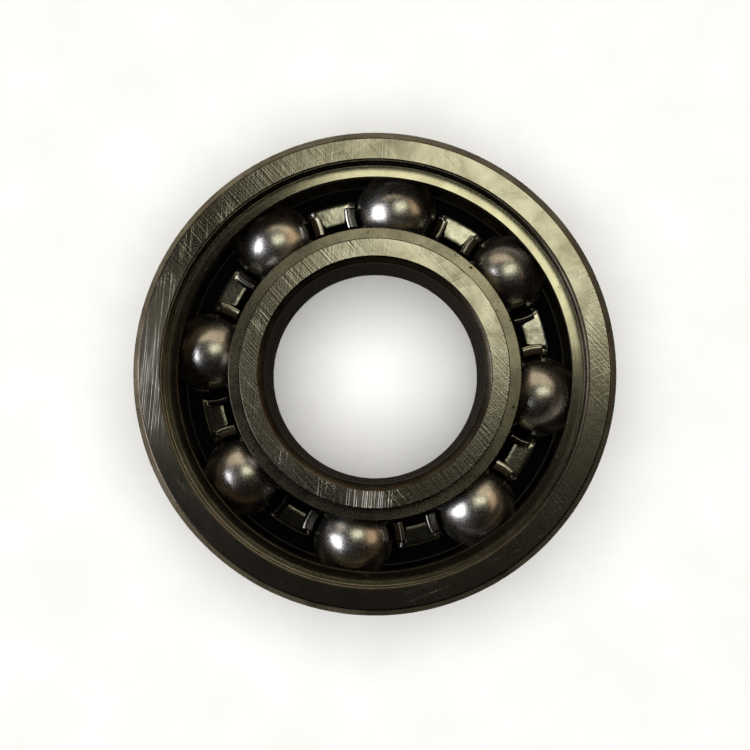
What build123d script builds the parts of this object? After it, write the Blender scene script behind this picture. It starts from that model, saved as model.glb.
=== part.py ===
from build123d import *
import os
from math import radians, sin, sqrt

# Single-row deep-groove ball bearing, 16 x 35 x 11 mm, open on both sides, with the
# empty seal grooves of a sealed type and a one-piece pressed-steel snap cage.
# The axis is +Z, the origin is the centre of the bearing, all sizes are in millimetres.

# ---- overall sizes ----
bore_diameter = 16.0
outside_diameter = 35.0
width = 11.0
corner_chamfer = 0.45            # ground corners of the bore and of the outside

# ---- balls and raceways ----
ball_count = 8
ball_diameter = 5.953            # 15/64 inch
pitch_inset = 0.5                # pitch circle's diameter, below the mean of bore and outside
first_ball_angle = -7.5          # degrees from +X
race_gap = 0.01                  # play left between a ball and the bottom of each groove
race_conformity = 0.52           # groove radius as a share of the ball's diameter
inner_shoulder_height = 1.285    # shoulder of the inner ring above its groove's bottom
outer_shoulder_height = 0.935    # shoulder of the outer ring above its groove's bottom
edge_break = 0.12                # small bevel on the ground edges

# ---- seal seats ----
inner_step_width = 1.0           # radial width of the inner ring's lower band
inner_step_depth = 2.0           # depth of that band below the ring's face
outer_seat_width = 0.95          # radial width of the outer ring's seat for a seal
outer_seat_depth = 2.5           # depth of the seat below the ring's face
seal_lip_height = 0.7            # lip between the ring's face and the seal groove
seal_groove_height = 1.0         # opening of the seal groove
seal_groove_depth = 0.45         # how far the groove cuts outwards behind the lip
seal_groove_slope = 0.2          # slant of the groove's two flanks

# ---- cage ----
cage_sheet = 0.3                 # thickness of the pressed sheet
pocket_clearance = 0.1           # between a ball and its pocket
cage_ring_clearance = 0.3        # between the cage and the inner ring's shoulder
cup_reach = 0.8                  # how far the cups stand outside the pitch circle
claw_reach = 0.2                 # how far the claws stand outside the pitch circle
mouth_height = 0.9               # narrowest point of a pocket, above the ball's centre
claw_height = 1.75               # tips of the claws, above the ball's centre
claw_flare = 0.74                # how far a claw leans away from the ball at its tip
web_level = 0.3                  # top of the webs, above the ball's centre
web_inner_offset = 0.55          # inner edge of a web, from the cage's inner radius
web_reach = 0.7                  # outer edge of a web, outside the pitch circle
web_slot = 0.13                  # between a web's inner end and the claw beside it
web_taper = 0.33                 # how much more a web reaches to each side at its outer edge
neck_slope = 0.75                # fall of a web's necks towards the cups
neck_overlap = 0.9               # how far a neck runs on past the edge of its pocket
neck_gap = 0.05                  # between a neck and the claw inside it

# ---- sizes that follow ----
half_width = width / 2
ball_radius = ball_diameter / 2
pitch_radius = (bore_diameter + outside_diameter) / 4 - pitch_inset / 2
race_radius = race_conformity * ball_diameter
ball_pitch_angle = 360 / ball_count
half_ball_spacing = pitch_radius * sin(radians(ball_pitch_angle / 2))

inner_race_bottom = pitch_radius - ball_radius - race_gap
outer_race_bottom = pitch_radius + ball_radius + race_gap
inner_shoulder_radius = inner_race_bottom + inner_shoulder_height
outer_shoulder_radius = outer_race_bottom - outer_shoulder_height
inner_face_radius = inner_shoulder_radius - inner_step_width
outer_mouth_radius = outer_shoulder_radius + outer_seat_width

pocket_radius = ball_radius + pocket_clearance
cage_inner_radius = inner_shoulder_radius + cage_ring_clearance
cup_outer_radius = pitch_radius + cup_reach
claw_outer_radius = pitch_radius + claw_reach
web_inner_radius = cage_inner_radius + web_inner_offset
web_outer_radius = pitch_radius + web_reach

mouth_radius = sqrt(pocket_radius**2 - mouth_height**2)
claw_rise = claw_height - mouth_height
claw_length = sqrt(claw_flare**2 + claw_rise**2)
claw_wall_out = cage_sheet * claw_rise / claw_length
claw_wall_down = cage_sheet * claw_flare / claw_length
claw_tip_radius = mouth_radius + claw_flare
web_inner_half_width = half_ball_spacing - claw_tip_radius - claw_wall_out - web_slot
web_outer_half_width = web_inner_half_width + web_taper


def groove_half_width(shoulder_height):
    """Half the axial width of a raceway groove that is this deep."""
    return sqrt(race_radius**2 - (race_radius - shoulder_height) ** 2)


def mirrored(points):
    """The same points on the other side of the bearing's middle plane, in reverse."""
    return [(radius, -height) for radius, height in reversed(points)]


def ring_from_outline(upper_points, race_bottom):
    """A ring turned from one half of its outline, given from the groove's edge around
    to the ring's far cylinder, closed by its mirror image and the groove's arc."""
    lower_points = mirrored(upper_points)
    with BuildPart() as ring:
        with BuildSketch(Plane.XZ):
            with BuildLine():
                Polyline(*upper_points, *lower_points)
                ThreePointArc(lower_points[-1], (race_bottom, 0), upper_points[0])
            make_face()
        revolve(axis=Axis.Z)
    return ring.part


def make_outer_ring():
    """Outer ring: ground outside, raceway, and a seal groove in each side."""
    outside_radius = outside_diameter / 2
    seat_level = half_width - outer_seat_depth
    lip_level = half_width - seal_lip_height
    groove_floor_radius = outer_mouth_radius + seal_groove_depth
    groove_level = lip_level - seal_groove_height
    upper_outline = [
        (outer_shoulder_radius, groove_half_width(outer_shoulder_height)),
        (outer_shoulder_radius, seat_level - edge_break),
        (outer_shoulder_radius + edge_break, seat_level),
        (outer_mouth_radius, seat_level),
        (outer_mouth_radius, groove_level),
        (groove_floor_radius, groove_level + seal_groove_slope),
        (groove_floor_radius, lip_level - seal_groove_slope),
        (outer_mouth_radius, lip_level),
        (outer_mouth_radius, half_width - edge_break),
        (outer_mouth_radius + edge_break, half_width),
        (outside_radius - corner_chamfer, half_width),
        (outside_radius, half_width - corner_chamfer),
    ]
    return ring_from_outline(upper_outline, outer_race_bottom)


def make_inner_ring():
    """Inner ring: ground bore, raceway, and a lower band beside each face."""
    bore_radius = bore_diameter / 2
    step_level = half_width - inner_step_depth
    upper_outline = [
        (inner_shoulder_radius, groove_half_width(inner_shoulder_height)),
        (inner_shoulder_radius, step_level - edge_break),
        (inner_shoulder_radius - edge_break, step_level),
        (inner_face_radius, step_level),
        (inner_face_radius, half_width - edge_break),
        (inner_face_radius - edge_break, half_width),
        (bore_radius + corner_chamfer, half_width),
        (bore_radius, half_width - corner_chamfer),
    ]
    return ring_from_outline(upper_outline, inner_race_bottom)


def make_ball():
    """One ball, at +X on the pitch circle."""
    return Pos(pitch_radius, 0, 0) * Sphere(ball_radius)


def pocket_outline():
    """Half section of a pocket about the ball's upright axis: a cup that follows the
    ball from below to the mouth, then a claw wall that leans away from the ball."""
    outer_radius = pocket_radius + cage_sheet
    below_mouth = Pos(outer_radius / 2, (mouth_height - outer_radius) / 2) * Rectangle(
        outer_radius, mouth_height + outer_radius
    )
    cup = (Circle(outer_radius) - Circle(pocket_radius)) & below_mouth
    claw = Polygon(
        (mouth_radius, mouth_height),
        (mouth_radius + claw_wall_out, mouth_height - claw_wall_down),
        (claw_tip_radius + claw_wall_out, claw_height - claw_wall_down),
        (claw_tip_radius, claw_height),
        align=None,
    )
    return cup + claw


def make_pocket():
    """One ball pocket at +X, cut to the cage's band: full cups below the ball's
    centre, narrower claws above it."""
    ball_plane = Plane(origin=(pitch_radius, 0, 0), x_dir=(1, 0, 0), z_dir=(0, -1, 0))
    ball_axis = Axis((pitch_radius, 0, 0), (0, 0, 1))
    pocket = revolve(ball_plane * pocket_outline(), axis=ball_axis)
    band_height = ball_diameter
    band_outline = Polygon(
        (cage_inner_radius, -band_height),
        (cup_outer_radius, -band_height),
        (cup_outer_radius, 0),
        (claw_outer_radius, 0),
        (claw_outer_radius, band_height),
        (cage_inner_radius, band_height),
        align=None,
    )
    band = revolve(Plane.XZ * band_outline, axis=Axis.Z)
    return pocket & band


def make_web_plate():
    """The flat plate between two pockets, at +X, widest at its outer edge."""
    plate_outline = Polygon(
        (web_inner_radius, -web_inner_half_width),
        (web_outer_radius, -web_outer_half_width),
        (web_outer_radius, web_outer_half_width),
        (web_inner_radius, web_inner_half_width),
        align=None,
    )
    return Pos(0, 0, web_level - cage_sheet) * extrude(plate_outline, cage_sheet)


def make_web_necks():
    """The bent strip along a web's outer edge that falls to the cup on either side."""
    web_floor = web_level - cage_sheet
    bend = web_outer_half_width
    neck_end = half_ball_spacing - pocket_radius + neck_overlap
    end_level = web_level - neck_slope * (neck_end - bend)
    sheet_drop = cage_sheet * sqrt(1 + neck_slope**2)
    floor_bend = bend - (sheet_drop - cage_sheet) / neck_slope
    neck_outline = Polygon(
        (-neck_end, end_level),
        (-neck_end, end_level - sheet_drop),
        (-floor_bend, web_floor),
        (floor_bend, web_floor),
        (neck_end, end_level - sheet_drop),
        (neck_end, end_level),
        (bend, web_level),
        (-bend, web_level),
        align=None,
    )
    neck_inner_radius = claw_outer_radius + neck_gap
    neck_plane = Plane(origin=(neck_inner_radius, 0, 0), x_dir=(0, 1, 0), z_dir=(1, 0, 0))
    return extrude(neck_plane * neck_outline, web_outer_radius - neck_inner_radius)


def make_web():
    """One web with its necks, at +X, whose ends stop halfway into the cups' sheet."""
    web = make_web_plate() + make_web_necks()
    mid_sheet_radius = pocket_radius + cage_sheet / 2
    for side in (-1, 1):
        beside = Rot(0, 0, side * ball_pitch_angle / 2) * Pos(pitch_radius, 0, 0)
        web -= beside * Sphere(mid_sheet_radius)
    return web


def make_cage():
    """The whole cage: a pocket for each ball and a web between each pair."""
    pocket = make_pocket()
    web = make_web()
    pieces = []
    for index in range(ball_count):
        angle = first_ball_angle + index * ball_pitch_angle
        pieces.append(Rot(0, 0, angle) * pocket)
        pieces.append(Rot(0, 0, angle + ball_pitch_angle / 2) * web)
    return pieces[0].fuse(*pieces[1:])


def make_parts():
    """Every separate piece of the bearing, by its name."""
    parts = {
        "outer_ring": make_outer_ring(),
        "inner_ring": make_inner_ring(),
        "cage": make_cage(),
    }
    ball = make_ball()
    for index in range(ball_count):
        angle = first_ball_angle + index * ball_pitch_angle
        parts[f"ball_{index + 1}"] = Rot(0, 0, angle) * ball
    return parts


os.makedirs("parts", exist_ok=True)
for node_name, shape in make_parts().items():
    export_step(shape, f"parts/{node_name}.step")
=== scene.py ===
from math import acos, cos, pi, radians, sin, sqrt

import bpy
from mathutils import Matrix, Vector


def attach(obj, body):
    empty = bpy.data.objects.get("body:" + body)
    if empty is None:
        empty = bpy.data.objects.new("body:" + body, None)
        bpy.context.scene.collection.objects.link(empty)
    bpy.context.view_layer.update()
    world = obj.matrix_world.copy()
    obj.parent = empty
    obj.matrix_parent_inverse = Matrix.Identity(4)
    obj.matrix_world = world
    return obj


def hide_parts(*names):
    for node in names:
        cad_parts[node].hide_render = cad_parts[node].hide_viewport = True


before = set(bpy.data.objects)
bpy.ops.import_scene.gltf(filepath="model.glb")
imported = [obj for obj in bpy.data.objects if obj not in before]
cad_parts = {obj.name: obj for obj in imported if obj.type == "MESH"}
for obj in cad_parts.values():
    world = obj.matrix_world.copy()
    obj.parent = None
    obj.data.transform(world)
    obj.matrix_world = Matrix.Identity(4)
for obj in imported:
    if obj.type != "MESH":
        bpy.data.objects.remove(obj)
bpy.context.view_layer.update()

# A 16 x 35 x 11 mm deep-groove ball bearing lying flat, its open face upwards.
# The axis is +Z, the origin is the bearing's centre. MM turns millimetres into metres.
MM = 0.001

# ---- the bearing, in millimetres, as in the part ----
HALF_WIDTH = 5.5
BORE_RADIUS = 8.0
OUTSIDE_RADIUS = 17.5
CORNER_CHAMFER = 0.45
BALL_COUNT = 8
BALL_RADIUS = 2.9765
PITCH_RADIUS = 12.5
FIRST_BALL_ANGLE = radians(-7.5)
HALF_CELL = pi / BALL_COUNT    # from a ball's middle to the middle of the next web

# ---- the rings, in millimetres: radii from the axis, levels above the middle plane ----
RACE_RADIUS = 3.0956           # of the grooves that the balls run in
RACE_GAP = 0.01                # play between a ball and the bottom of each groove
INNER_RACE_BOTTOM = PITCH_RADIUS - BALL_RADIUS - RACE_GAP
OUTER_RACE_BOTTOM = PITCH_RADIUS + BALL_RADIUS + RACE_GAP
INNER_SHOULDER = INNER_RACE_BOTTOM + 1.285
OUTER_SHOULDER = OUTER_RACE_BOTTOM - 0.935
INNER_FACE_RADIUS = INNER_SHOULDER - 1.0
OUTER_MOUTH = OUTER_SHOULDER + 0.95
INNER_STEP_LEVEL = HALF_WIDTH - 2.0
OUTER_SEAT_LEVEL = HALF_WIDTH - 2.5
LIP_LEVEL = HALF_WIDTH - 0.7
GROOVE_LEVEL = LIP_LEVEL - 1.0
GROOVE_DEPTH = 0.45            # of the seal groove, behind the lip
GROOVE_SLOPE = 0.2             # slant of the seal groove's two flanks

# ---- the cage, in millimetres: its sheet's middle surface ----
SHEET = 0.28
POCKET_CLEARANCE = 0.1
CUP_RADIUS = BALL_RADIUS + POCKET_CLEARANCE + SHEET / 2
CAGE_INNER = 11.12
CLAW_OUTER = 12.62
STRIP_INNER = 12.76
STRIP_OUTER = 13.24
SPLIT_LEVEL = -0.6             # claws and outer strip part company here
STRIP_BEND_TURN = 0.011        # radians from the cup's edge to the strip's bend
WEB_LEVEL = 0.15
WEB_INNER = 11.66
WEB_HALF_WIDTH = 0.79          # at the web's inner end
WEB_SPREAD = 0.2               # how much wider each side gets for each millimetre outwards
WEB_DISH_RADIUS = 12.0         # inside this radius the web is dished
WEB_EDGE_RADIUS = 12.95        # outside this radius the web's edge is rounded off

# ---- a claw: distances from its ball's upright axis, and levels ----
ROUND_LEVEL = 0.6              # it follows the ball up to here
MOUTH_RADIUS = 3.101
MOUTH_LEVEL = 0.853
CLAW_BEND = (3.29, 1.09)       # from here it leans straight out
CLAW_RADIUS = 3.73
CLAW_LEVEL = 1.58
CLAW_TIP = (CLAW_RADIUS + 0.01, 1.72)

# ---- fineness and finish of the meshes ----
ROUND_STEPS = 256              # faces round a turned ring
ARC_STEPS = 16                 # faces across a raceway groove
BALL_CUTS = 21                 # cuts across each side of the block that becomes a ball
RING_EDGE = 0.07               # width of the rounding on a ring's edges
CAGE_EDGE = 0.045              # the same on the cage's sheet
WELD_REACH = 0.004             # points of the cage nearer than this become one
LEVEL_FACING = 0.99            # a face counts as level when its normal is this upright
TOLERANCE = 0.02               # in millimetres, when a face is told by its place


# ---------------------------------------------------------------- colours and nodes
def colour(hex_code):
    """An sRGB hex value as the linear colour that a shader takes."""
    channels = [int(hex_code[start:start + 2], 16) / 255 for start in (1, 3, 5)]
    linear = [c / 12.92 if c <= 0.04045 else ((c + 0.055) / 1.055) ** 2.4 for c in channels]
    return (*linear, 1)


def add_node(tree, kind, inputs=(), **settings):
    """Adds a node to a tree, with its settings, and gives each named input a value or a link."""
    node = tree.nodes.new(kind)
    for name, value in settings.items():
        setattr(node, name, value)
    for name, value in dict(inputs).items():
        if isinstance(value, bpy.types.NodeSocket):
            tree.links.new(value, node.inputs[name])
        else:
            node.inputs[name].default_value = value
    return node


def ramp(tree, factor, stops):
    """A colour ramp over factor, from (position, hex colour) stops."""
    node = add_node(tree, "ShaderNodeValToRGB", {"Fac": factor})
    while len(node.color_ramp.elements) < len(stops):
        node.color_ramp.elements.new(0.5)
    for element, (position, hex_code) in zip(node.color_ramp.elements, stops):
        element.position = position
        element.color = colour(hex_code)
    return node.outputs["Color"]


def in_range(tree, value, low, high, to_low=0.0, to_high=1.0):
    """value from low to high, mapped to to_low to to_high and held at the ends."""
    inputs = {
        "Value": value, "From Min": low, "From Max": high, "To Min": to_low, "To Max": to_high,
    }
    return add_node(tree, "ShaderNodeMapRange", inputs).outputs["Result"]


def maths(tree, operation, first, second):
    """One step of arithmetic between two values."""
    return add_node(tree, "ShaderNodeMath", {0: first, 1: second}, operation=operation).outputs[0]


def millimetre_coordinates(tree):
    """Object coordinates in millimetres."""
    place = add_node(tree, "ShaderNodeTexCoord").outputs["Object"]
    inputs = {"Vector": place, "Scale": (1 / MM, 1 / MM, 1 / MM)}
    return add_node(tree, "ShaderNodeMapping", inputs).outputs[0]


def polar_coordinates(tree, place):
    """Distance from the bearing's axis, turn about it, and height, as one vector."""
    parts = add_node(tree, "ShaderNodeSeparateXYZ", {0: place})
    flat = add_node(tree, "ShaderNodeCombineXYZ", {0: parts.outputs[0], 1: parts.outputs[1]})
    radius = add_node(tree, "ShaderNodeVectorMath", {0: flat.outputs[0]}, operation="LENGTH")
    turn = maths(tree, "ARCTAN2", parts.outputs[1], parts.outputs[0])
    return add_node(
        tree, "ShaderNodeCombineXYZ",
        {0: radius.outputs["Value"], 1: turn, 2: parts.outputs[2]},
    ).outputs[0]


def noise(tree, place, scale, detail=3.0, roughness=0.55, distortion=0.0):
    """Soft random pattern of about this many spots for each unit of place."""
    inputs = {
        "Vector": place, "Scale": scale, "Detail": detail, "Roughness": roughness,
        "Distortion": distortion,
    }
    return add_node(tree, "ShaderNodeTexNoise", inputs).outputs["Fac"]


def stretched(tree, place, turn, stretch):
    """Coordinates turned about the axis by turn degrees, then scaled each way by stretch."""
    inputs = {"Vector": place, "Rotation": (0, 0, radians(turn))}
    turned = add_node(tree, "ShaderNodeMapping", inputs).outputs[0]
    return add_node(tree, "ShaderNodeMapping", {"Vector": turned, "Scale": stretch}).outputs[0]


def hatch(tree, place, turn, spacing, length):
    """Fine straight lines that run along one direction, as soft random heights.
    spacing and length are in millimetres."""
    stretch = (1 / spacing, 1 / length, 1 / length)
    return noise(tree, stretched(tree, place, turn, stretch), 1.0, 1.0, 0.5)


def scratches(tree, place, turn, spacing, length, rarity):
    """Separate scratches along one direction: 1 on a scratch, 0 between. rarity thins
    them out, from 0 for all to 1 for none."""
    stretch = (1 / spacing, 1 / length, 1 / length)
    lines = noise(tree, stretched(tree, place, turn, stretch), 1.0, 0.0)
    return in_range(tree, lines, rarity, rarity + 0.10)


def near(tree, place, point, reach):
    """1 round a point, falling to 0 at this reach from it, for marks in one known place."""
    distance = add_node(tree, "ShaderNodeVectorMath", {0: place, 1: point}, operation="DISTANCE")
    return in_range(tree, distance.outputs["Value"], 0.35 * reach, reach, 1.0, 0.0)


def total(tree, *values):
    """The sum of several (value, weight) pairs."""
    result = 0.0
    for value, weight in values:
        result = add_node(
            tree, "ShaderNodeMath", {0: value, 1: weight, 2: result}, operation="MULTIPLY_ADD"
        ).outputs[0]
    return result


def mixed(tree, share, first, second):
    """first where share is 0 and second where it is 1."""
    inputs = {0: share, 6: first, 7: second}
    return add_node(tree, "ShaderNodeMix", inputs, data_type="RGBA").outputs[2]


def new_material(name):
    """An empty node material and its Principled shader."""
    material = bpy.data.materials.new(name)
    material.use_nodes = True
    tree = material.node_tree
    return material, tree, tree.nodes["Principled BSDF"]


def finish_metal(tree, shader, base, roughness, height):
    """Joins colour, roughness and a height pattern, in millimetres, to a metal's shader."""
    shader.inputs["Metallic"].default_value = 1.0
    tree.links.new(base, shader.inputs["Base Color"])
    tree.links.new(roughness, shader.inputs["Roughness"])
    bump = add_node(tree, "ShaderNodeBump", {"Height": height, "Distance": MM, "Strength": 1.0})
    tree.links.new(bump.outputs["Normal"], shader.inputs["Normal"])


# ---------------------------------------------------------------- materials
def ground_face_steel():
    """Hardened bearing steel, ground flat between two wheels and then handled for years.
    The eye sees a fine crossed hatch, bright scratches where it was rubbed, and brown
    oily staining. Real grinding lines are about 0.02 mm apart: they are drawn coarser,
    to show."""
    material, tree, shader = new_material("ground_bearing_steel_face")
    place = millimetre_coordinates(tree)
    fine = total(
        tree,
        (hatch(tree, place, 6, 0.13, 5.0), 0.5),
        (hatch(tree, place, 52, 0.15, 3.0), 0.25),
        (hatch(tree, place, 97, 0.14, 4.0), 0.3),
        (hatch(tree, place, -42, 0.13, 6.0), 1.3),
    )
    left_wear = near(tree, place, (-17, 1, HALF_WIDTH), 9.0)
    bore_wear = near(tree, place, (-0.6, -9.2, HALF_WIDTH), 2.1)
    patches = in_range(tree, noise(tree, place, 0.35, 2.0), 0.46, 0.62)
    upright = scratches(tree, place, 5, 0.08, 6.0, 0.57)
    low_wear = near(tree, place, (-5, -8, HALF_WIDTH), 8.0)
    upright_share = total(
        tree, (left_wear, 0.5), (bore_wear, 0.7), (low_wear, 0.35), (patches, 0.3),
    )
    slanted = scratches(tree, place, -40, 0.12, 6.0, 0.60)
    crossing = scratches(tree, place, 68, 0.12, 5.0, 0.63)
    deep = total(
        tree,
        (maths(tree, "MULTIPLY", upright, upright_share), 1.0),
        (maths(tree, "MULTIPLY", slanted, patches), 0.45),
        (maths(tree, "MULTIPLY", crossing, patches), 0.35),
    )
    height = total(tree, (fine, 0.007), (deep, -0.008))
    stain = noise(tree, place, 0.42, 5.0, 0.62, 0.5)
    dull = ramp(tree, stain, ((0.30, "#857e70"), (0.5, "#a5a093"), (0.72, "#b8b4a9")))
    base = mixed(tree, in_range(tree, deep, 0.0, 1.0, 0.0, 0.6), dull, colour("#d8d6d0"))
    dulled = near(tree, place, (-11, -3, HALF_WIDTH), 12.0)
    rough = total(
        tree,
        (in_range(tree, stain, 0.3, 0.7, 0.24, 0.18), 1.0),
        (left_wear, 0.10), (dulled, 0.04), (bore_wear, 0.10),
    )
    finish_metal(tree, shader, base, rough, height)
    return material


def ground_round_steel():
    """Bearing steel ground on the round: the bore and the outside. The eye sees fine
    close lines that run round the ring, with soft cloudy staining. Real ones are about
    0.02 mm apart: these are drawn at 0.11 mm, to show."""
    material, tree, shader = new_material("ground_bearing_steel_round")
    place = millimetre_coordinates(tree)
    polar = polar_coordinates(tree, place)
    rings = noise(tree, stretched(tree, polar, 0, (1.0, 1.6, 9.0)), 1.0, 4.0, 0.65)
    stain = noise(tree, place, 0.35, 5.0, 0.6)
    tint = total(tree, (rings, 0.6), (stain, 0.4))
    base = ramp(tree, tint, ((0.36, "#858177"), (0.5, "#a4a199"), (0.64, "#bdbbb3")))
    rough = in_range(tree, rings, 0.35, 0.65, 0.30, 0.20)
    finish_metal(tree, shader, base, rough, maths(tree, "MULTIPLY", rings, 0.004))
    return material


def turned_steel(name, tints, low_rough, high_rough, speck_level):
    """The same steel where it is only turned and hardened: seats, grooves, chamfers.
    The eye sees a duller, browner band with dark specks and turning rings 0.14 mm
    apart, as from a fine feed. tints go from dark to light, and a higher speck_level
    leaves fewer specks."""
    material, tree, shader = new_material(name)
    place = millimetre_coordinates(tree)
    polar = polar_coordinates(tree, place)
    rings = noise(tree, stretched(tree, polar, 0, (7.0, 0.9, 7.0)), 1.0, 3.0)
    grain = noise(tree, place, 7.0, 3.0)
    specks = in_range(tree, noise(tree, place, 2.4, 2.0), speck_level, speck_level + 0.05)
    stain = noise(tree, place, 0.5, 3.0)
    clean = ramp(tree, stain, tuple(zip((0.3, 0.52, 0.75), tints)))
    base = mixed(tree, specks, clean, colour("#241f19"))
    rough = in_range(tree, grain, 0.3, 0.7, low_rough, high_rough)
    height = total(tree, (rings, 0.002), (grain, 0.001), (specks, -0.006))
    finish_metal(tree, shader, base, rough, height)
    return material


def raceway_steel():
    """The honed running groove, under a film of old oil: smooth, dark and brown. Honing
    lines are too fine to show, and are drawn coarser, at 0.07 mm."""
    material, tree, shader = new_material("honed_raceway_steel")
    place = millimetre_coordinates(tree)
    polar = polar_coordinates(tree, place)
    rings = noise(tree, stretched(tree, polar, 0, (1.0, 0.6, 14.0)), 1.0, 3.0)
    film = noise(tree, place, 0.5, 3.0)
    base = ramp(tree, film, ((0.3, "#45413a"), (0.6, "#625d53"), (0.8, "#7a756a")))
    rough = in_range(tree, film, 0.3, 0.7, 0.24, 0.34)
    finish_metal(tree, shader, base, rough, maths(tree, "MULTIPLY", rings, 0.001))
    return material


def ball_steel():
    """Through-hardened chrome steel, lapped to a mirror and worn to a soft gloss.
    The eye sees clear highlights with hazy skirts, a slight mottle, and hairlines that
    are drawn coarser than real ones, to show."""
    material, tree, shader = new_material("lapped_chrome_steel")
    place = millimetre_coordinates(tree)
    wear = noise(tree, place, 0.9, 4.0)
    fine = noise(tree, place, 9.0, 4.0, 0.7)
    lines = total(
        tree,
        (hatch(tree, place, 15, 0.14, 1.6), 1.0),
        (hatch(tree, place, -60, 0.14, 1.2), 0.8),
    )
    base = ramp(tree, wear, ((0.3, "#b0aca4"), (0.55, "#cac7c0"), (0.75, "#dbd9d3")))
    rough = in_range(tree, fine, 0.40, 0.60, 0.24, 0.36)
    height = total(tree, (fine, 0.0018), (lines, 0.003))
    finish_metal(tree, shader, base, rough, height)
    return material


def cage_steel():
    """Cold-rolled low-carbon strip, blanked and pressed. The eye sees a bright satin
    sheet with a faint grain and shallow dents, claw tips in the sheet's own colour,
    painted shade on the claws below them, and painted shade over the cage's lower side."""
    material, tree, shader = new_material("pressed_steel_strip")
    place = millimetre_coordinates(tree)
    polar = polar_coordinates(tree, place)
    grain = noise(tree, stretched(tree, polar, 0, (2.5, 40.0, 2.0)), 1.0, 3.0)
    dents = noise(tree, place, 1.6, 2.0)
    oil = noise(tree, place, 0.8, 4.0)
    clean = ramp(tree, oil, ((0.32, "#8f8c80"), (0.5, "#bab8ad"), (0.72, "#d6d5cc")))
    level = add_node(tree, "ShaderNodeSeparateXYZ", {0: place}).outputs[2]
    # Painted shade: the claw walls, from just above the web up to under the tips, are coloured
    # dark (#3d3a34).
    above_web = in_range(tree, level, WEB_LEVEL + SHEET, WEB_LEVEL + 2 * SHEET)
    below_tip = in_range(tree, level, CLAW_LEVEL - 0.02, CLAW_LEVEL + 0.08, 1.0, 0.0)
    # Painted shade: the cage is coloured darker towards its lower side, up to 0.7 of the way to
    # #4a463e, round (-1, -12) mm.
    lower_side_shade = near(tree, place, (-1, -12, WEB_LEVEL), 20.0)
    with_lower_side_shade = mixed(tree, maths(tree, "MULTIPLY", lower_side_shade, 0.7), clean, colour("#4a463e"))
    shaded_claw_walls = maths(tree, "MULTIPLY", above_web, below_tip)
    base = mixed(tree, shaded_claw_walls, with_lower_side_shade, colour("#3d3a34"))
    rough = in_range(tree, oil, 0.3, 0.7, 0.26, 0.17)
    height = total(tree, (grain, 0.0015), (dents, 0.016))
    finish_metal(tree, shader, base, rough, height)
    return material


def matt_board():
    """Pale coated card for the floor: an even off-white with a faint fibre mottle."""
    material, tree, shader = new_material("pale_coated_card")
    place = millimetre_coordinates(tree)
    fibre = noise(tree, place, 0.15, 4.0)
    base = ramp(tree, fibre, ((0.3, "#e9e8e4"), (0.7, "#f0efec")))
    tree.links.new(base, shader.inputs["Base Color"])
    tree.links.new(in_range(tree, fibre, 0.3, 0.7, 0.85, 0.95), shader.inputs["Roughness"])
    shader.inputs["Specular IOR Level"].default_value = 0.2
    return material


def black_shade_felt():
    """Black wool felt that stands in for shade on the stage: no shine and a soft uneven nap."""
    material, tree, shader = new_material("black_shade_felt_sheet")
    nap = noise(tree, millimetre_coordinates(tree), 3.0, 4.0)
    base = ramp(tree, nap, ((0.3, "#0b0b0d"), (0.7, "#17161a")))
    tree.links.new(base, shader.inputs["Base Color"])
    shader.inputs["Roughness"].default_value = 1.0
    shader.inputs["Specular IOR Level"].default_value = 0.0
    return material


# ---------------------------------------------------------------- modelling helpers
def edit(piece):
    """Makes a piece the only selected object and opens it in edit mode."""
    bpy.ops.object.select_all(action="DESELECT")
    piece.select_set(True)
    bpy.context.view_layer.objects.active = piece
    bpy.ops.object.mode_set(mode="EDIT")


def add_modifier(piece, kind, **settings):
    """Adds a modifier to a piece with its settings and applies it."""
    bpy.context.view_layer.objects.active = piece
    modifier = piece.modifiers.new(kind.lower(), kind)
    for name, value in settings.items():
        setattr(modifier, name, value)
    bpy.ops.object.modifier_apply(modifier=modifier.name)


def soften(piece, width):
    """Rounds every sharp edge by width, shades the rounds smooth and the level faces flat."""
    add_modifier(
        piece, "BEVEL", width=width * MM, segments=3, limit_method="ANGLE",
        angle_limit=radians(28), use_clamp_overlap=True,
    )
    quite_level = 0.9999
    for face in piece.data.polygons:
        face.use_smooth = abs(face.normal.z) < quite_level
    add_modifier(piece, "WEIGHTED_NORMAL", keep_sharp=True, weight=100)


def turned_ring(name, outline):
    """A ring turned from a closed outline of (radius, height) points: one circle is
    extruded from point to point, and the last loop is bridged back to the first."""
    bpy.ops.object.select_all(action="DESELECT")
    first_radius, first_height = outline[0]
    bpy.ops.mesh.primitive_circle_add(vertices=ROUND_STEPS, radius=first_radius * MM)
    ring = bpy.context.object
    ring.name = name
    bpy.ops.object.mode_set(mode="EDIT")
    bpy.ops.mesh.select_all(action="SELECT")
    bpy.ops.transform.translate(value=(0, 0, first_height * MM))
    for (radius, height), (next_radius, next_height) in zip(outline, outline[1:]):
        bpy.ops.mesh.extrude_edges_move(
            TRANSFORM_OT_translate={"value": (0, 0, (next_height - height) * MM)}
        )
        scale = next_radius / radius
        bpy.ops.transform.resize(value=(scale, scale, 1), center_override=(0, 0, 0))
    bpy.ops.mesh.select_all(action="DESELECT")
    bpy.ops.mesh.select_mode(type="EDGE")
    bpy.ops.mesh.select_non_manifold()
    bpy.ops.mesh.bridge_edge_loops()
    bpy.ops.mesh.select_all(action="SELECT")
    bpy.ops.mesh.normals_make_consistent(inside=False)
    bpy.ops.object.mode_set(mode="OBJECT")
    return ring


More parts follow.
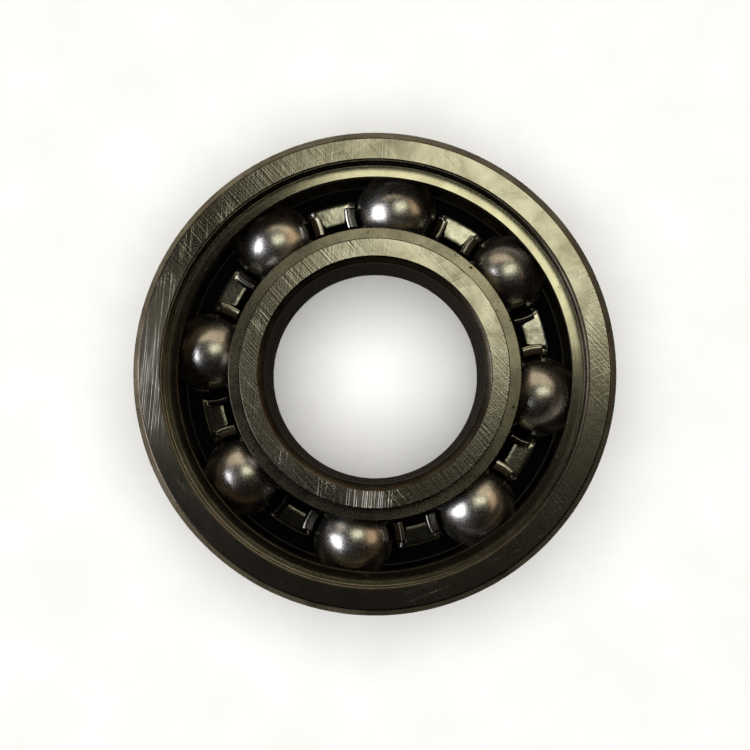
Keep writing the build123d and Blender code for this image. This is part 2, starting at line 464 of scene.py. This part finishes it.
def groove_arc(race_bottom, shoulder, bulge):
    """Points down a raceway groove from its upper edge to its lower one. bulge is -1
    for a groove in the inner ring and 1 for one in the outer ring."""
    depth = abs(shoulder - race_bottom)
    end = acos((RACE_RADIUS - depth) / RACE_RADIUS)
    centre = race_bottom - bulge * RACE_RADIUS
    turns = [end * (1 - 2 * step / ARC_STEPS) for step in range(ARC_STEPS + 1)]
    return [(centre + bulge * RACE_RADIUS * cos(turn), RACE_RADIUS * sin(turn)) for turn in turns]


def mirrored(points):
    """The same points below the bearing's middle plane, in reverse."""
    return [(radius, -height) for radius, height in reversed(points)]


def assign(piece, materials, zone):
    """Gives a piece its materials: each face takes the one that zone names for its
    radius, its distance from the middle plane, and how level it lies, from 0 to 1."""
    names = list(materials)
    for name in names:
        piece.data.materials.append(materials[name])
    for face in piece.data.polygons:
        centre = face.center / MM
        facing = abs(face.normal.z)
        face.material_index = names.index(zone(centre.xy.length, abs(centre.z), facing))


# ---------------------------------------------------------------- the rings
def make_outer_ring(materials):
    """Outer ring: ground outside and faces, a lip and seal groove in each side."""
    floor_radius = OUTER_MOUTH + GROOVE_DEPTH
    upper = [
        (OUTER_SHOULDER, OUTER_SEAT_LEVEL),
        (OUTER_MOUTH, OUTER_SEAT_LEVEL),
        (OUTER_MOUTH, GROOVE_LEVEL),
        (floor_radius, GROOVE_LEVEL + GROOVE_SLOPE),
        (floor_radius, LIP_LEVEL - GROOVE_SLOPE),
        (OUTER_MOUTH, LIP_LEVEL),
        (OUTER_MOUTH, HALF_WIDTH),
        (OUTSIDE_RADIUS - CORNER_CHAMFER, HALF_WIDTH),
        (OUTSIDE_RADIUS, HALF_WIDTH - CORNER_CHAMFER),
    ]
    arc = groove_arc(OUTER_RACE_BOTTOM, OUTER_SHOULDER, 1)
    ring = turned_ring("outer_ring_turned", upper + mirrored(upper) + list(reversed(arc)))

    def zone(radius, height, facing):
        if facing > LEVEL_FACING and height > HALF_WIDTH - TOLERANCE:
            return "face"
        if radius > OUTSIDE_RADIUS - TOLERANCE:
            return "round"
        if radius > OUTSIDE_RADIUS - CORNER_CHAMFER:
            return "band"
        if facing > LEVEL_FACING and radius < OUTER_MOUTH:
            return "seat"
        if height < OUTER_SEAT_LEVEL - RING_EDGE - TOLERANCE and radius < OUTER_MOUTH:
            return "race"
        return "turned"

    soften(ring, RING_EDGE)
    assign(ring, materials, zone)
    return ring


def make_inner_ring(materials):
    """Inner ring: ground bore and faces, with a lower band beside each face."""
    upper = [
        (INNER_SHOULDER, INNER_STEP_LEVEL),
        (INNER_FACE_RADIUS, INNER_STEP_LEVEL),
        (INNER_FACE_RADIUS, HALF_WIDTH),
        (BORE_RADIUS + CORNER_CHAMFER, HALF_WIDTH),
        (BORE_RADIUS, HALF_WIDTH - CORNER_CHAMFER),
    ]
    arc = groove_arc(INNER_RACE_BOTTOM, INNER_SHOULDER, -1)
    ring = turned_ring("inner_ring_turned", upper + mirrored(upper) + list(reversed(arc)))

    def zone(radius, height, facing):
        if facing > LEVEL_FACING and height > HALF_WIDTH - TOLERANCE:
            return "face"
        if radius < BORE_RADIUS + TOLERANCE:
            return "round"
        if facing > LEVEL_FACING and radius > INNER_FACE_RADIUS:
            return "band"
        if height < INNER_STEP_LEVEL - RING_EDGE - TOLERANCE:
            return "race"
        return "turned"

    soften(ring, RING_EDGE)
    assign(ring, materials, zone)
    return ring


# ---------------------------------------------------------------- the balls
def make_balls(material):
    """Eight balls, modelled once from a finely divided block drawn out to a sphere."""
    bpy.ops.object.select_all(action="DESELECT")
    bpy.ops.mesh.primitive_cube_add(size=2 * BALL_RADIUS * MM)
    ball = bpy.context.object
    bpy.ops.object.mode_set(mode="EDIT")
    bpy.ops.mesh.select_all(action="SELECT")
    bpy.ops.mesh.subdivide(number_cuts=BALL_CUTS)
    bpy.ops.transform.tosphere(value=1.0)
    bpy.ops.object.mode_set(mode="OBJECT")
    for vertex in ball.data.vertices:
        vertex.co = vertex.co.normalized() * BALL_RADIUS * MM
    for face in ball.data.polygons:
        face.use_smooth = True
    ball.data.transform(Matrix.Translation((PITCH_RADIUS * MM, 0, 0)))
    ball.data.materials.append(material)
    balls = [ball]
    for _ in range(1, BALL_COUNT):
        copy = ball.copy()
        copy.data = ball.data.copy()
        bpy.context.scene.collection.objects.link(copy)
        balls.append(copy)
    for index, copy in enumerate(balls):
        copy.name = f"ball_{index + 1}_lapped"
        angle = FIRST_BALL_ANGLE + index * 2 * HALF_CELL
        copy.data.transform(Matrix.Rotation(angle, 4, "Z"))
    return balls


# ---------------------------------------------------------------- the cage
def cell_point(radius, distance, height, side):
    """A point at this radius from the axis and this distance, in plan, from the ball's
    upright axis, on one side of it."""
    cosine = (radius**2 + PITCH_RADIUS**2 - distance**2) / (2 * radius * PITCH_RADIUS)
    turn = acos(max(-1.0, min(1.0, cosine)))
    return (radius * cos(turn), side * radius * sin(turn), height)


def curve_through(start, corner, end, share):
    """A point on the smooth bend from start to end that heads for corner."""
    rest = 1 - share
    return [rest * rest * a + 2 * rest * share * b + share * share * c
            for a, b, c in zip(start, corner, end)]


def pressed_blank(columns, rows, place):
    """A flat grid blank pressed to shape: place(along, across) gives each point of it
    in millimetres, for shares from 0 to 1 of its length and width."""
    bpy.ops.object.select_all(action="DESELECT")
    bpy.ops.mesh.primitive_grid_add(x_subdivisions=columns, y_subdivisions=rows, size=1)
    blank = bpy.context.object
    for vertex in blank.data.vertices:
        vertex.co = Vector(place(vertex.co.x + 0.5, vertex.co.y + 0.5)) * MM
    return blank


def between(low, high, share):
    """The value at this share of the way from low to high."""
    return low + share * (high - low)


def cup_point(radius, share, side):
    """A point of the cup: share 0 is under the ball, and share 1 is where the claws
    and the strip part company."""
    depth = sqrt(CUP_RADIUS**2 - (radius - PITCH_RADIUS) ** 2)
    last = acos(-SPLIT_LEVEL / depth)
    height = -depth * cos(share * last)
    distance = sqrt(max(CUP_RADIUS**2 - height**2, 0))
    return cell_point(radius, max(distance, abs(radius - PITCH_RADIUS)), height, side)


def claw_profile(share):
    """(distance, height) up a claw: round the ball, then over the mouth's bend, then
    leaning away from the ball, with a tip that stands upright again."""
    round_end, bend_end = 0.40, 0.65
    if share < round_end:
        height = SPLIT_LEVEL + (share / round_end) * (ROUND_LEVEL - SPLIT_LEVEL)
        return sqrt(CUP_RADIUS**2 - height**2), height
    if share < bend_end:
        start = (sqrt(CUP_RADIUS**2 - ROUND_LEVEL**2), ROUND_LEVEL)
        over = (share - round_end) / (bend_end - round_end)
        return curve_through(start, (MOUTH_RADIUS, MOUTH_LEVEL), CLAW_BEND, over)
    over = (share - bend_end) / (1 - bend_end)
    return curve_through(CLAW_BEND, (CLAW_RADIUS, CLAW_LEVEL), CLAW_TIP, over)


def web_half_width(radius):
    """Half the width of the web between two pockets, widest at its outer edge."""
    return WEB_HALF_WIDTH + WEB_SPREAD * (radius - WEB_INNER)


def web_fall(radius):
    """How far the web's rounded outer edge and dished inner end drop below its level."""
    edge_curve, dish_curve = 0.8, 0.25
    past_edge = max(0.0, radius - WEB_EDGE_RADIUS)
    in_dish = max(0.0, WEB_DISH_RADIUS - radius)
    return edge_curve * past_edge**2 + dish_curve * in_dish**2


def strip_point(radius, share, side):
    """The outer strip from the cup, round its bend, to the middle of the web."""
    bend_end = 0.7                 # share of the strip that is its bend
    web_turn = HALF_CELL - web_half_width(radius) / radius
    foot_distance = sqrt(CUP_RADIUS**2 - SPLIT_LEVEL**2)
    foot = cell_point(radius, foot_distance, SPLIT_LEVEL, 1)
    foot_turn = acos(foot[0] / radius)
    level = WEB_LEVEL - web_fall(radius)
    if share < bend_end:
        turn, height = curve_through(
            (foot_turn, SPLIT_LEVEL), (foot_turn + STRIP_BEND_TURN, level), (web_turn, level),
            share / bend_end,
        )
    else:
        turn = web_turn + (share - bend_end) / (1 - bend_end) * (HALF_CELL - web_turn)
        height = level
    return (radius * cos(turn), side * radius * sin(turn), height)


def web_point(radius, share, side):
    """The web's tongue, from its side edge to the middle."""
    turn = HALF_CELL - (1 - share) * web_half_width(radius) / radius
    return (radius * cos(turn), side * radius * sin(turn), WEB_LEVEL - web_fall(radius))


def make_half_cell(side):
    """The blanks from the middle of one ball to the middle of the web on one side of
    it: half a cup, a claw, half a strip and half a web's tongue. Where two blanks
    meet, their rows of points are the same, so that the weld joins them."""
    around_cup, up_claw, along_strip, across_web = 22, 20, 20, 6
    claw_rows, strip_rows, web_rows = 9, 4, 8
    radii = [between(CAGE_INNER, CLAW_OUTER, row / claw_rows) for row in range(claw_rows + 1)]
    radii += [between(STRIP_INNER, STRIP_OUTER, row / strip_rows) for row in range(strip_rows + 1)]
    last_row = len(radii) - 1

    def cup(along, across):
        return cup_point(radii[round(across * last_row)], along, side)

    def claw(along, across):
        return cell_point(between(CAGE_INNER, CLAW_OUTER, across), *claw_profile(along), side)

    def strip(along, across):
        return strip_point(between(STRIP_INNER, STRIP_OUTER, across), along, side)

    def tongue(along, across):
        return web_point(between(WEB_INNER, STRIP_INNER, across), along, side)

    return [
        pressed_blank(around_cup, last_row, cup),
        pressed_blank(up_claw, claw_rows, claw),
        pressed_blank(along_strip, strip_rows, strip),
        pressed_blank(across_web, web_rows, tongue),
    ]


def make_cage(material):
    """The snap cage, pressed from one flat ring of sheet: one pocket with half a web
    on each side, copied round, welded, and given the sheet's thickness."""
    blanks = make_half_cell(-1) + make_half_cell(1)
    bpy.ops.object.select_all(action="DESELECT")
    for blank in blanks:
        blank.select_set(True)
    cage = blanks[0]
    bpy.context.view_layer.objects.active = cage
    bpy.ops.object.join()
    cage.name = "cage_pressed"
    cell = cage.data
    for index in range(1, BALL_COUNT):
        copy = bpy.data.objects.new("pocket", cell.copy())
        copy.data.transform(Matrix.Rotation(index * 2 * HALF_CELL, 4, "Z"))
        bpy.context.scene.collection.objects.link(copy)
        copy.select_set(True)
    bpy.context.view_layer.objects.active = cage
    bpy.ops.object.join()
    cage.data.transform(Matrix.Rotation(FIRST_BALL_ANGLE, 4, "Z"))
    edit(cage)
    bpy.ops.mesh.select_all(action="SELECT")
    bpy.ops.mesh.remove_doubles(threshold=WELD_REACH * MM)
    bpy.ops.mesh.normals_make_consistent(inside=False)
    bpy.ops.object.mode_set(mode="OBJECT")
    add_modifier(cage, "SOLIDIFY", thickness=SHEET * MM, offset=0.0, use_even_offset=True)
    soften(cage, CAGE_EDGE)
    cage.data.materials.append(material)
    return cage


# ---------------------------------------------------------------- stage
def table_disc(name, radius, level, material):
    """A flat round sheet with its radius in metres and its level in millimetres. The
    metal doesn't mirror it."""
    bpy.ops.object.select_all(action="DESELECT")
    bpy.ops.mesh.primitive_circle_add(vertices=96, radius=radius, fill_type="NGON")
    disc = bpy.context.object
    disc.name = name
    disc.data.transform(Matrix.Translation((0, 0, level * MM)))
    disc.data.materials.append(material)
    disc.visible_glossy = False
    return disc


def make_floor():
    """A wide pale table top, and a ring of black felt under the balls as painted shade,
    so that the narrow gaps beside the cage look down into the dark."""
    table_radius, shade_felt_thickness = 3.0, 0.02
    table_disc("table_top", table_radius, -HALF_WIDTH, matt_board())
    # Painted shade: a black matt ring lies under the balls to stand in for the shade in the gaps.
    shade_felt = table_disc(
        "shade_felt_ring", OUTER_MOUTH * MM, shade_felt_thickness - HALF_WIDTH, black_shade_felt()
    )
    edit(shade_felt)
    bpy.ops.mesh.select_all(action="SELECT")
    bpy.ops.mesh.inset(thickness=(OUTER_MOUTH - INNER_FACE_RADIUS) * MM)
    bpy.ops.mesh.delete(type="FACE")
    bpy.ops.object.mode_set(mode="OBJECT")


def aim(light, target):
    """Turns a light to shine at a point."""
    direction = Vector(target) - light.location
    light.rotation_euler = direction.to_track_quat("-Z", "Y").to_euler()


def soft_box(name, place, size, radiance, tint, turn=None):
    """A soft box that only the metal sees, hidden from the camera and from the table.
    place and size are in metres, and radiance is against a white of 1. It faces the
    bearing, or with a turn in degrees lies level over it."""
    data = bpy.data.lights.new(name, "AREA")
    data.shape = "RECTANGLE"
    data.size, data.size_y = size
    data.energy = radiance * pi * size[0] * size[1]
    data.color = colour(tint)[:3]
    light = bpy.data.objects.new(name, data)
    bpy.context.scene.collection.objects.link(light)
    light.location = place
    light.visible_camera = False
    light.visible_diffuse = False
    if turn is None:
        aim(light, (0, 0, 0))
    else:
        light.rotation_euler = (0, 0, radians(turn))


def make_table_light():
    """An even soft light on the table, from straight above. The metal doesn't mirror it."""
    data = bpy.data.lights.new("table_fill", "SUN")
    data.energy = 3.7
    data.angle = radians(70)
    light = bpy.data.objects.new("table_fill", data)
    bpy.context.scene.collection.objects.link(light)
    light.visible_glossy = False


def make_room():
    """The dim room that the metal mirrors: dark overhead, with grey-brown walls and a
    darker floor, and brighter beyond and to the left than near and to the right."""
    world = bpy.data.worlds.new("studio")
    bpy.context.scene.world = world
    world.use_nodes = True
    tree = world.node_tree
    background = tree.nodes["Background"]
    place = add_node(tree, "ShaderNodeTexCoord").outputs["Generated"]
    parts = add_node(tree, "ShaderNodeSeparateXYZ", {0: place})
    height = in_range(tree, parts.outputs[2], -1.0, 1.0)
    from_floor_to_ceiling = (
        (0.0, "#1d1b18"), (0.07, "#24211d"), (0.15, "#676258"), (0.3, "#8f897c"),
        (0.5, "#9a9487"), (0.56, "#7f796c"), (0.64, "#2b2621"), (0.8, "#120e0c"),
        (1.0, "#0d0907"),
    )
    tree.links.new(ramp(tree, height, from_floor_to_ceiling), background.inputs["Color"])
    side = total(tree, (parts.outputs[0], -0.8), (parts.outputs[1], 0.6))
    strength = in_range(tree, side, -0.8, 0.8, 0.45, 1.7)
    tree.links.new(strength, background.inputs["Strength"])


def make_lights():
    """Soft studio light: an even fill on the table, a window to the left, a small pale
    card close above the rings' right side, broad dim warm cards beyond, and the room."""
    make_table_light()
    soft_box("window", (-0.49, -0.07, 0.33), (0.34, 0.44), 5.0, "#f3f4ff")
    soft_box("near_card", (0.024, 0.027, 0.100), (0.062, 0.040), 1.75, "#fbfadd", 15)
    soft_box("warm_card_beyond", (-0.02, 0.46, 0.30), (0.95, 0.42), 1.0, "#f3e2c4")
    soft_box("warm_card_right", (0.46, 0.17, 0.30), (0.50, 0.36), 0.9, "#efcda8")
    make_room()


def make_camera():
    """A long-lens camera close above the open face, almost square on."""
    place = (0.46, -3.03, 118.9)   # in millimetres, so that the bearing fills the frame
    data = bpy.data.cameras.new("camera")
    data.sensor_width = 36
    data.lens = 75.5
    data.clip_start = 0.01
    camera = bpy.data.objects.new("camera", data)
    bpy.context.scene.collection.objects.link(camera)
    camera.location = [value * MM for value in place]
    backward = camera.location.normalized()
    sideways = Vector((0, 1, 0)).cross(backward).normalized()
    upward = backward.cross(sideways)
    camera.rotation_euler = Matrix((sideways, upward, backward)).transposed().to_euler()
    bpy.context.scene.camera = camera


# ---------------------------------------------------------------- the bearing
bpy.context.scene.view_settings.view_transform = "Standard"
make_camera()
make_lights()
make_floor()
GROOVE_TINTS = ("#342e26", "#463f35", "#585145")
SEAT_TINTS = ("#a09a87", "#b7b29e", "#c9c5b2")
BAND_TINTS = ("#6b655a", "#878173", "#9c9686")
RING_MATERIALS = {
    "face": ground_face_steel(),
    "round": ground_round_steel(),
    "turned": turned_steel("turned_steel_groove", GROOVE_TINTS, 0.24, 0.33, 0.70),
    "seat": turned_steel("turned_steel_seat", SEAT_TINTS, 0.12, 0.17, 0.74),
    "band": turned_steel("turned_steel_band", BAND_TINTS, 0.24, 0.31, 0.68),
    "race": raceway_steel(),
}
outer_ring = make_outer_ring(RING_MATERIALS)
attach(outer_ring, "outer_ring")
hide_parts("outer_ring")
inner_ring = make_inner_ring(RING_MATERIALS)
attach(inner_ring, "inner_ring")
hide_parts("inner_ring")
cage = make_cage(cage_steel())
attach(cage, "cage")
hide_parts("cage")
for number, ball in enumerate(make_balls(ball_steel()), 1):
    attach(ball, f"ball_{number}")
    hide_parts(f"ball_{number}")
